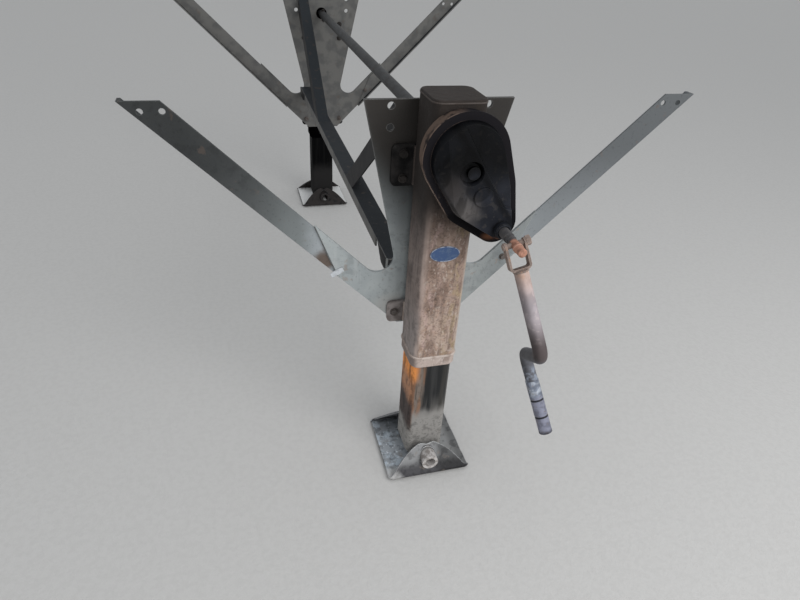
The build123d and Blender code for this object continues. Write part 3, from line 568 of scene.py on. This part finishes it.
for name, obj in nodes.items():
    plain = name.removeprefix("near_").removeprefix("far_")
    key = wornFar.get(plain, worn[plain]) if name.startswith("far_") else worn[plain]
    obj.data.materials.clear()
    obj.data.materials.append(finishes[key].material)
    obj.data.shade_smooth()
    obj.data.set_sharp_from_angle(angle=math.radians(sharpFrom))
    weighted = obj.modifiers.new("weighted", "WEIGHTED_NORMAL")
    weighted.keep_sharp = True
print("nodes dressed")


# Pieces beyond the nodes
def addPiece(name, mesh, finish, body, smooth=30):
    bmesh.ops.recalc_face_normals(mesh, faces=mesh.faces)
    data = bpy.data.meshes.new(name)
    mesh.to_mesh(data)
    mesh.free()
    data.shade_smooth()
    data.set_sharp_from_angle(angle=math.radians(smooth))
    data.materials.append(finishes[finish].material)
    piece = bpy.data.objects.new(name, data)
    scene.collection.objects.link(piece)
    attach(piece, body)
    return piece


def turns(count, shift=0):
    return [2 * math.pi * (k + shift) / count for k in range(count)]


def circle(centre, across, other, radius, count):
    return [centre + (across * math.cos(t) + other * math.sin(t)) * radius for t in turns(count)]


def joinRings(mesh, rings, closed=False):
    if not closed:
        mesh.faces.new(rings[0])
        mesh.faces.new(rings[-1])
    for i in range(len(rings) if closed else len(rings) - 1):
        a, b = rings[i], rings[(i + 1) % len(rings)]
        for k in range(len(a)):
            mesh.faces.new((a[k - 1], a[k], b[k], b[k - 1]))


def addPrism(mesh, near, far):
    joinRings(mesh, [[mesh.verts.new(point) for point in outline] for outline in (near, far)])


def spaced(points, step, closed):
    ends = points + [points[0]] if closed else points
    out = []
    for a, b in zip(ends, ends[1:]):
        count = max(1, round((b - a).length / step))
        out += [a.lerp(b, i / count) for i in range(count)]
    return out if closed else out + [ends[-1]]


beadShape = {
    "pitch": 0.0052,
    "low": 0.88,
    "ripple": 0.17,
    "uneven": 0.03,
    "flat": 0.8,
    "steps": 4,
    "sides": 8,
    "seed": 1,
}


def addBead(mesh, points, lifts, radius, closed=False, pitch=beadShape["pitch"]):
    shape = beadShape
    chance = random.Random(shape["seed"])
    points = spaced(points, pitch / shape["steps"], closed)
    count = len(points)
    rings = []
    travelled = 0
    for i, point in enumerate(points):
        before = points[i - 1] if closed or i else point
        after = points[(i + 1) % count] if closed or i + 1 < count else point
        along = (after - before).normalized()
        lift = lifts(point) if callable(lifts) else lifts
        lift = (lift - along * lift.dot(along)).normalized()
        ripple = abs(math.sin(math.pi * travelled / pitch))
        size = shape["low"] + shape["ripple"] * ripple + chance.uniform(-shape["uneven"], shape["uneven"])
        travelled += (after - before).length / 2
        ring = circle(point, along.cross(lift), lift * shape["flat"], radius * size, shape["sides"])
        rings.append([mesh.verts.new(v) for v in ring])
    joinRings(mesh, rings, closed)


boltShape = {
    "washerHigh": 2.6,
    "crown": 0.9,
    "crownDrop": 0.55,
    "dish": 0.82,
    "dishDeep": 0.5,
    "thread": 2,
    "threadDeep": 0.7,
}


def addTurned(mesh, profile, place, axis, spin=0, count=24):
    frameTurn = axis.to_track_quat("Z", "Y").to_matrix().to_4x4()
    rings = []
    for level, radius, kind in profile:
        ring = []
        for angle in turns(count):
            reach = radius
            if kind:
                reach = radius / math.cos(angle % (math.pi / 3) - math.pi / 6)
            drop = boltShape["crownDrop"] * (reach - radius) if kind == "crowned" else 0
            point = Vector((reach * math.cos(angle + spin), reach * math.sin(angle + spin), level - drop)) / 1000
            ring.append(mesh.verts.new(place + frameTurn @ point))
        rings.append(ring)
    joinRings(mesh, rings)


# Bolts, in millimetres
bracketBolts = {
    "flat": 8.5,
    "headHigh": 6.4,
    "nutHigh": 9,
    "washer": 11.5,
    "stud": 5,
    "studReach": 6,
    "faces": (63.5, 80.5),
    "x": 86,
    "heights": (873, 935, 480),
    "seed": 7,
}
smallBolt = {
    "flat": 6.5,
    "nutHigh": 7,
    "stud": 4,
    "studReach": 4,
}
lapBolt = dict(smallBolt, headHigh=5, washer=9, faces=(72.5, 85.5), place=(222, 624), spins=(0.4, 0.2))
shaftBolts = dict(smallBolt, headHigh=5.5, washer=8.5, place=(0, 135, 982), reach=16.5, spins=(0.3, 0.3))


def boltProfiles(sizes, shape):  # a head and a nut: each level with its radius and form
    flat, washer, stud, foot = sizes["flat"], sizes["washer"], sizes["stud"], shape["washerHigh"]
    crown, dish, thread = flat * shape["crown"], flat * shape["dish"], shape["thread"]
    seat = [(0, washer - 0.4, ""), (0.5, washer, ""), (foot - 0.4, washer, ""), (foot, washer - 0.5, ""),
            (foot, flat, "hex")]
    top, level = foot + sizes["headHigh"], foot + sizes["nutHigh"]
    head = seat + [(top, flat, "crowned"), (top, crown, ""), (top - shape["dishDeep"], dish, "")]
    nut = seat + [(level, flat, "crowned"), (level, crown, ""), (level, stud, "")]
    end = level + sizes["studReach"]
    while level < end:
        nut += [(level + thread / 4, stud - shape["threadDeep"], ""), (level + thread * 3 / 4, stud, "")]
        level += thread
    return head, nut + [(level + 0.8, stud - 1.6, "")]


def addBolt(mesh, sizes, places, ways, spins):
    for profile, place, way, spin in zip(boltProfiles(sizes, boltShape), places, ways, spins):
        addTurned(mesh, profile, place, way, spin)


def addPlateBolt(mesh, side, sizes, x, h, spins):
    places = [at(side, x, y, h) for y in sizes["faces"]]
    addBolt(mesh, sizes, places, (toward(side, 0, -1, 0), toward(side, 0, 1, 0)), spins)


def addBracketBolts(side, sizes):
    mesh = bmesh.new()
    chance = random.Random(sizes["seed"])
    for x in (-sizes["x"], sizes["x"]):
        for h in sizes["heights"]:
            addPlateBolt(mesh, side, sizes, x, h, (chance.uniform(0, 1), chance.uniform(0, 1)))
    addPiece(side + "BracketBolts", mesh, "boltSteel", "frame")


def addLapBolt(side, sizes):
    mesh = bmesh.new()
    addPlateBolt(mesh, side, sizes, *sizes["place"], sizes["spins"])
    addPiece(side + "LapBolt", mesh, "boltSteel", "frame")


def addShaftBolts(sizes):
    mesh = bmesh.new()
    x, y, h = sizes["place"]
    for side in ("near", "far"):
        places = at(side, x, y, h + sizes["reach"]), at(side, x, y, h - sizes["reach"])
        addBolt(mesh, sizes, places, (Vector((0, 0, 1)), Vector((0, 0, -1))), sizes["spins"])
    addPiece("shaftBolts", mesh, "boltSteel", "cross_drive")


# Welds: lines in millimetres, bead radii in metres
tubeWelds = {
    "rings": [(64, 25, 405, 0.0034), (62.5, 24, 1085, 0.0028)],  # half width, corner, height, radius
    "cornerSteps": 6,
    "lean": 0.6,
    "seam": [(-5, 373), (-5, 401)],
    "seamOut": 0.6,
    "seamRadius": 0.0018,
    "seamPitch": 0.004,
    "bracket": (57, 59.5),
    "bracketSpans": [(856, 954), (450, 510)],
    "bracketLean": 30,
    "bracketRadius": 0.0058,
    "bracketPitch": 0.006,
}


def squareRing(side, half, corner, h, steps):
    points = []
    for quarter in range(4):
        cx = (half - corner) * (1 if quarter in (0, 3) else -1)
        cy = (half - corner) * (1 if quarter in (0, 1) else -1)
        for k in range(steps + 1):
            turn = math.pi / 2 * (quarter + k / steps)
            points.append(at(side, cx + corner * math.cos(turn), cy + corner * math.sin(turn), h))
    return points


def addTubeWelds(side, sizes):
    def outward(point):
        return Vector((point.x, point.y - axisY[side], 0)).normalized() + Vector((0, 0, sizes["lean"]))

    mesh = bmesh.new()
    for half, corner, h, radius in sizes["rings"]:
        addBead(mesh, squareRing(side, half, corner, h, sizes["cornerSteps"]), outward, radius, True)
    low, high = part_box(side + "_collar")
    face = (low[0] - high[0]) * 500 + sizes["seamOut"]
    seam = [at(side, x, face, h) for x, h in sizes["seam"]]
    addBead(mesh, seam, toward(side, 0, -1, 0), sizes["seamRadius"], pitch=sizes["seamPitch"])
    reach, y = sizes["bracket"]
    for x in (-reach, reach):
        for span in sizes["bracketSpans"]:
            line = [at(side, x, y, h) for h in span]
            lift = toward(side, x, -sizes["bracketLean"], 0)
            addBead(mesh, line, lift, sizes["bracketRadius"], pitch=sizes["bracketPitch"])
    addPiece(side + "TubeWelds", mesh, "weldRust" if side == "near" else "farTubeShadeAndRust", "frame")


wingWelds = {  # a line at each place, the way it bulges and its radius
    "front": ([(-299, 79.5, 750), (-241.5, 79.5, 603)], (-1, -0.8, 0), 0.003),
    "rear": ([(299, 79.5, 750), (241.5, 79.5, 603)], (1, -0.8, 0), 0.003),
    "tie": ([(-109, 80.5, 641), (-109, 80.5, 608), (-53, 80.5, 608)], (-0.5, 1, -0.5), 0.0035),
    "knee": ([(-109, 80.5, 1052), (-109, 80.5, 990)], (-1, 1, 0), 0.0032),
}


def addWingWelds(side, welds):
    mesh = bmesh.new()
    for points, lift, radius in welds.values():
        addBead(mesh, [at(side, *point) for point in points], toward(side, *lift), radius)
    addPiece(side + "WingWelds", mesh, "weldPaint" if side == "near" else "tiePaint", "frame")


caseWeld = {
    "line": [(-56, 902.4), (-42, 880), (-29.3, 859.8), (-18, 845.6), (-3.8, 834.1), (27, 814.3), (57, 795.1)],
    "face": -63.5,
    "lift": (-0.55, -1, -0.7),
    "radius": 0.0042,
}


def addCaseWeld(sizes):
    mesh = bmesh.new()
    path = [at("near", x, sizes["face"], h) for x, h in sizes["line"]]
    addBead(mesh, path, toward("near", *sizes["lift"]), sizes["radius"])
    addPiece("caseWeld", mesh, "weldRust", "frame")


pinWeld = {
    "height": 50,
    "out": 57.2,
    "pin": 0.0246,
    "lean": 0.02,
    "radius": 0.0028,
    "count": 36,
}


def addPinWelds(side, sizes):
    mesh = bmesh.new()
    for y in (-sizes["out"], sizes["out"]):
        centre = at(side, 0, y, sizes["height"])
        ring = circle(centre, Vector((1, 0, 0)), Vector((0, 0, 1)), sizes["pin"], sizes["count"])
        outer = toward(side, 0, y, 0) * sizes["lean"]
        addBead(mesh, ring, lambda point: point - centre + outer, sizes["radius"], True)
    finish = "pinSteel" if side == "near" else "farTubeShadeAndRust"
    addPiece(side + "PinWelds", mesh, finish, side + "_inner_leg")


yokeWeld = {
    "pin": (95, -215, 823),
    "tilt": 15,
    "hang": 21.5,
    "down": 0.0612,
    "pipe": 0.0168,
    "lean": 0.004,
    "radius": 0.0024,
    "count": 32,
}


def addYokeWeld(sizes):
    tilt, hang = math.radians(sizes["tilt"]), math.radians(sizes["hang"])
    down = Vector((math.sin(tilt), 0, -math.cos(tilt)))
    across = Vector((math.cos(tilt), 0, math.sin(tilt)))
    along = down * math.cos(hang) + Vector((0, -math.sin(hang), 0))
    centre = at("near", *sizes["pin"]) + along * sizes["down"]
    ring = circle(centre, across, along.cross(across), sizes["pipe"], sizes["count"])
    mesh = bmesh.new()
    addBead(mesh, ring, lambda point: point - centre - along * sizes["lean"], sizes["radius"], True)
    addPiece("yokeWeld", mesh, "strapRust", "crank_handle")


# Shoes pressed from one sheet, in millimetres: a pan and two ears
shoeSizes = {
    "half": 124,
    "edge": 126.2,
    "corner": 14,
    "flat": 54,
    "rise": 6,
    "bend": 2.2,
    "sheet": 6,
    "lip": 1,
    "lipWide": 6,
    "foldIn": 6,
    "foldUp": 3.5,
    "foldSteps": 4,
    "slope": 0.7,
    "earInset": 0.5,
    "ear": [(-14, 74), (0, 72), (14, 75), (25, 74.5), (36, 70), (47, 64), (71, 48), (90, 31), (106, 15),
            (118, 5), (127, 0), (140, 0)],
    "earSteps": 14,
    "panSteps": 14,
    "columns": 64,
    "crowding": 0.92,
    "wrinkle": 1.7,
    "wrinkleAt": 42,
    "wrinkleReach": 40,
    "wrinkleSpread": 3.2,
    "wrinkleWaves": 21,
    "pinHeight": 50,
    "hole": 24.6,
    "holeRise": 1,
    "holeSides": 48,
    "holeReach": 140,
    "merge": 1.2,
    "rounding": 1.2,
    "roundFrom": 50,
    "sharpFrom": 40,
    "sliver": 0.01,
}


def curveAt(points, x):  # smooth curve through the points
    i = max(1, min(len(points) - 3, sum(1 for q in points if q[0] <= x) - 1))
    a, b, c, d = points[i - 1:i + 3]
    t = (x - b[0]) / (c[0] - b[0])
    rise = (c[1] - a[1]) / (c[0] - a[0]) * (c[0] - b[0])
    fall = (d[1] - b[1]) / (d[0] - b[0]) * (c[0] - b[0])
    return ((2 * t**3 - 3 * t**2 + 1) * b[1] + (t**3 - 2 * t**2 + t) * rise
            + (3 * t**2 - 2 * t**3) * c[1] + (t**3 - t**2) * fall)


def panHeight(sizes, x, y):
    edge, flat, lipWide = sizes["edge"], sizes["flat"], sizes["lipWide"]
    share = max(0, (max(abs(x), abs(y)) - flat) / (edge - flat))
    height = sizes["sheet"] / 2 + sizes["rise"] * share ** sizes["bend"]
    gapX, gapY = edge - abs(x), edge - abs(y)
    angle = math.atan2(gapY, gapX)
    fade = max(0, 1 - abs(math.hypot(gapX, gapY) - sizes["wrinkleAt"]) / sizes["wrinkleReach"])
    fade *= math.sin(min(math.pi, angle * sizes["wrinkleSpread"]))
    lip = sizes["lip"] * max(0, (abs(x) - edge + lipWide) / lipWide) ** 2
    return height + sizes["wrinkle"] * fade * math.sin(angle * sizes["wrinkleWaves"]) + lip


def earLine(sizes, x):  # one cut across the pressed sheet, from its edge to the ear's top
    edge, slope, corner = sizes["edge"] - sizes["earInset"], sizes["slope"], sizes["corner"]
    foldIn, foldUp, steps = sizes["foldIn"], sizes["foldUp"], sizes["earSteps"]
    over = max(0, abs(x) - edge + corner)
    edge -= corner - math.sqrt(max(0, corner ** 2 - over ** 2))
    top = max(sizes["lip"] + foldUp, curveAt(sizes["ear"], abs(x)))
    foot = panHeight(sizes, x, edge)
    start = (edge - foldIn, panHeight(sizes, x, edge - foldIn))
    end = (edge - slope * foldUp, foot + foldUp)
    line = []
    for k in range(sizes["foldSteps"] + 1):
        t = k / sizes["foldSteps"]
        points = zip(start, (edge, foot), end)
        line.append(tuple((1 - t) ** 2 * a + 2 * t * (1 - t) * b + t * t * c for a, b, c in points))
    for k in range(1, steps + 1):
        rise = foldUp + (top - foldUp) * k / steps
        line.append((edge - slope * rise, foot + rise))
    return line


def shoeSheet(side, sizes):
    mesh = bmesh.new()
    crowding, steps = sizes["crowding"], sizes["panSteps"]
    rows = []
    for i in range(sizes["columns"] + 1):
        turn = math.pi * (i / sizes["columns"] - 0.5) * crowding
        x = sizes["half"] * math.sin(turn) / math.sin(math.pi * crowding / 2)
        ear = earLine(sizes, x)
        inner = ear[0][0]
        across = [inner * (k / steps - 1) for k in range(1, 2 * steps)]
        pan = [(y, panHeight(sizes, x, y)) for y in across]
        line = [(-y, h) for y, h in reversed(ear)] + pan + ear
        rows.append([mesh.verts.new(at(side, x, y, h)) for y, h in line])
    for a, b in zip(rows, rows[1:]):
        for k in range(1, len(a)):
            mesh.faces.new((a[k - 1], a[k], b[k], b[k - 1]))
    bmesh.ops.remove_doubles(mesh, verts=mesh.verts, dist=sizes["merge"] / 1000)
    return mesh


def pinHole(side, sizes):
    mesh = bmesh.new()
    rings = [[], []]
    for turn in turns(sizes["holeSides"], 0.5):
        lift = sizes["holeRise"] if math.sin(turn) > 0 else 0
        x = sizes["hole"] * math.cos(turn)
        h = sizes["pinHeight"] + lift + sizes["hole"] * math.sin(turn)
        for ring, y in zip(rings, (-sizes["holeReach"], sizes["holeReach"])):
            ring.append(mesh.verts.new(at(side, x, y, h)))
    joinRings(mesh, rings)
    bmesh.ops.recalc_face_normals(mesh, faces=mesh.faces)
    data = bpy.data.meshes.new("pinHole")
    mesh.to_mesh(data)
    mesh.free()
    cutter = bpy.data.objects.new("pinHole", data)
    scene.collection.objects.link(cutter)
    return cutter


def addShoe(side, sizes):
    finish = "shoeSteel" if side == "near" else "farShoeShadeAndHighlight"
    mesh = shoeSheet(side, sizes)
    shoe = addPiece(side + "PressedShoe", mesh, finish, side + "_foot", sizes["sharpFrom"])
    sheet = shoe.modifiers.new("sheet", "SOLIDIFY")
    sheet.thickness = sizes["sheet"] / 1000
    sheet.offset = 0
    hole = shoe.modifiers.new("hole", "BOOLEAN")
    hole.object = pinHole(side, sizes)
    hole.solver = "EXACT"
    rounding = shoe.modifiers.new("rounding", "BEVEL")
    rounding.width = sizes["rounding"] / 1000
    rounding.segments = 2
    rounding.limit_method = "ANGLE"
    rounding.angle_limit = math.radians(sizes["roundFrom"])
    done = bpy.data.meshes.new_from_object(shoe.evaluated_get(bpy.context.evaluated_depsgraph_get()))
    clean = bmesh.new()
    clean.from_mesh(done)
    bmesh.ops.dissolve_degenerate(clean, edges=clean.edges, dist=sizes["sliver"] / 1000)
    clean.to_mesh(done)
    clean.free()
    bpy.data.objects.remove(hole.object)
    shoe.modifiers.clear()
    shoe.data = done
    done.shade_smooth()
    done.set_sharp_from_angle(angle=math.radians(sizes["sharpFrom"]))
    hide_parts(side + "_shoe")
    print(side, "shoe pressed:", len(done.polygons), "faces")


gussetSizes = {
    "corners": [(80.5, 640), (80.5, 592), (150, 592), (205, 640)],
    "middle": -105,
    "thick": 6,
    "reach": -58,
    "gap": 0.2,
    "round": 6,
    "bevel": 0.8,
}


def addTieGusset(side, sizes):
    corners = [Vector(c) for c in sizes["corners"]]
    outline = corners[:2]
    for i in (2, 3):
        for other in (corners[i - 1], corners[(i + 1) % len(corners)]):
            edge = other - corners[i]
            outline.append(corners[i] + edge.normalized() * min(sizes["round"], edge.length / 3))
    middle, thick = sizes["middle"], sizes["thick"]
    mesh = bmesh.new()
    addPrism(mesh, *([at(side, x, y, h) for y, h in outline] for x in (middle - thick / 2, middle + thick / 2)))
    (wall, high), low = sizes["corners"][0], sizes["corners"][1][1]
    wall += sizes["gap"]
    face = ((middle, low), (sizes["reach"], low), (sizes["reach"], high), (middle, high))
    addPrism(mesh, *([at(side, x, y, h) for x, h in face] for y in (wall, wall + thick)))
    bmesh.ops.bevel(mesh, geom=mesh.edges[:], offset=sizes["bevel"] / 1000, segments=2, profile=0.5,
                    affect="EDGES", clamp_overlap=True)
    addPiece(side + "TieGusset", mesh, "kneePaint", "frame")


badgeRim = {
    "x": -0.004,
    "halfWidth": 0.037,
    "halfHeight": 0.02,
    "sunk": 0.0004,
    "radius": 0.0016,
    "flat": 0.7,
    "count": 64,
    "sides": 8,
}


def addBadgeRim(sizes):
    low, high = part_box("badge_plate")
    centre = Vector((sizes["x"], low[1] + sizes["sunk"], (low[2] + high[2]) / 2))
    wide, tall = Vector((sizes["halfWidth"], 0, 0)), Vector((0, 0, sizes["halfHeight"]))
    outer = Vector((0, -sizes["flat"], 0))
    mesh = bmesh.new()
    rings = []
    for point in circle(centre, wide, tall, 1, sizes["count"]):
        ring = circle(point, (point - centre).normalized(), outer, sizes["radius"], sizes["sides"])
        rings.append([mesh.verts.new(v) for v in ring])
    joinRings(mesh, rings, True)
    addPiece("badgeRim", mesh, "rimMetal", "frame")


tabSizes = {
    "start": (-261, 611),
    "end": (-229, 626),
    "width": 15,
    "narrowing": 0.25,
    "thick": 2.5,
    "face": 72.5,
    "bow": 3,
    "rows": 12,
    "columns": 4,
}


def addTab(sizes):
    mesh = bmesh.new()
    start, end = Vector(sizes["start"]), Vector(sizes["end"])
    length = end - start
    across = length.orthogonal().normalized()
    rows, columns = sizes["rows"], sizes["columns"]
    sheets = []
    for depth in (0, sizes["thick"]):
        sheet = []
        for i in range(rows + 1):
            share = i / rows
            width = sizes["width"] * (1 - sizes["narrowing"] * (abs(share - 0.5) * 2) ** 6)
            lift = sizes["bow"] * (1 - share) ** 2
            places = [start + length * share + across * (j / columns - 0.5) * width for j in range(columns + 1)]
            sheet.append([mesh.verts.new(at("near", x, sizes["face"] - depth - lift, h)) for x, h in places])
        sheets.append(sheet)
    for sheet in sheets:
        for i in range(rows):
            for j in range(columns):
                mesh.faces.new((sheet[i][j], sheet[i + 1][j], sheet[i + 1][j + 1], sheet[i][j + 1]))
    back, front = sheets
    for i in range(rows):
        for j in (0, columns):
            mesh.faces.new((back[i][j], back[i + 1][j], front[i + 1][j], front[i][j]))
    for j in range(columns):
        for i in (0, rows):
            mesh.faces.new((back[i][j], back[i][j + 1], front[i][j + 1], front[i][j]))
    addPiece("frontTab", mesh, "tabMetal", "frame")


sealSizes = {  # the profile's levels and radii in millimetres
    "profile": [(0, 12.9), (0, 17.6), (2.04, 17.6), (3.4, 16.2), (3.4, 14.5), (2.2, 13.5), (2, 12.9)],
    "sunk": 0.0004,
    "count": 40,
}


def addSeal(sizes):
    mesh = bmesh.new()
    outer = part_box("gear_cover")[0][1]
    pin = next(j for j in frame["joints"] if j["name"] == "crank_turn")["pos_m"]
    face = Vector((pin[0], outer + sizes["sunk"], pin[2]))
    profile = [(level, radius, "") for level, radius in sizes["profile"]]
    addTurned(mesh, profile, face, Vector((0, -1, 0)), 0, sizes["count"])
    addPiece("shaftSeal", mesh, "gearPaint", "frame")


for side in ("near", "far"):
    addBracketBolts(side, bracketBolts)
    addLapBolt(side, lapBolt)
    addTubeWelds(side, tubeWelds)
    addWingWelds(side, wingWelds)
    addPinWelds(side, pinWeld)
    addTieGusset(side, gussetSizes)
    addShoe(side, shoeSizes)
addCaseWeld(caseWeld)
addYokeWeld(yokeWeld)
addBadgeRim(badgeRim)
addTab(tabSizes)
addSeal(sealSizes)
addShaftBolts(shaftBolts)
print("pieces added")


# Camera: solved from the photo, 800 by 600
cameraLook = {
    "place": (-0.4804, -1.3323, 0.3973),
    "yaw": 0.3020,
    "pitch": 0.5791,
    "roll": 0.0685,
    "lens": 26.787,
    "sensor": 36,
}


def addCamera(look):
    yaw, pitch, roll = look["yaw"], look["pitch"], look["roll"]
    level = Vector((math.sin(yaw), math.cos(yaw), 0))
    side = Vector((math.cos(yaw), -math.sin(yaw), 0))
    upward = Vector((0, 0, 1))
    forward = level * math.cos(pitch) - upward * math.sin(pitch)
    top = level * math.sin(pitch) + upward * math.cos(pitch)
    right = side * math.cos(roll) + top * math.sin(roll)
    top = top * math.cos(roll) - side * math.sin(roll)
    data = bpy.data.cameras.new("photoCamera")
    data.lens = look["lens"]
    data.sensor_width = look["sensor"]
    camera = bpy.data.objects.new("photoCamera", data)
    scene.collection.objects.link(camera)
    camera.matrix_world = Matrix((
        (right.x, top.x, -forward.x, look["place"][0]),
        (right.y, top.y, -forward.y, look["place"][1]),
        (right.z, top.z, -forward.z, look["place"][2]),
        (0, 0, 0, 1),
    ))
    scene.camera = camera


addCamera(cameraLook)

# Floor, sky and lamp
stageLook = {
    "floor": {
        "base": (0.6, 0.59, 0.575),
        "rough": 0.95,
        "layers": [{"noise": (60, 0.4, 0.65), "colour": (0.58, 0.57, 0.555)}],
        "bump": [(120, 0.0008)],
    },
    "floorReach": 30,
    "sky": (0.94, 0.97, 1.0),
    "skyStrength": 0.62,
    "lampPlace": (1.6, -3.2, 1.6),
    "lampAim": (0, -0.2, -0.45),
    "lampSize": 3.0,
    "lampPower": 100,
}


def addStage(look):
    mesh = bpy.data.meshes.new("floor")
    reach = look["floorReach"]
    corners = ((-reach, -reach), (reach, -reach), (reach, reach), (-reach, reach))
    mesh.from_pydata([(x, y, ground) for x, y in corners], [], [(0, 1, 2, 3)])
    floor = bpy.data.objects.new("floor", mesh)
    scene.collection.objects.link(floor)
    mesh.materials.append(Finish("floorGround", look["floor"]).material)
    world = bpy.data.worlds.new("sky")
    world.use_nodes = True
    sky = world.node_tree.nodes["Background"].inputs
    sky["Color"].default_value = (*look["sky"], 1)
    sky["Strength"].default_value = look["skyStrength"]
    scene.world = world
    data = bpy.data.lights.new("key", "AREA")
    data.size = look["lampSize"]
    data.energy = look["lampPower"]
    lamp = bpy.data.objects.new("key", data)
    scene.collection.objects.link(lamp)
    lamp.location = look["lampPlace"]
    lamp.rotation_euler = (Vector(look["lampAim"]) - lamp.location).to_track_quat("-Z", "Y").to_euler()


addStage(stageLook)
scene.view_settings.view_transform = "Standard"
print("stage set")
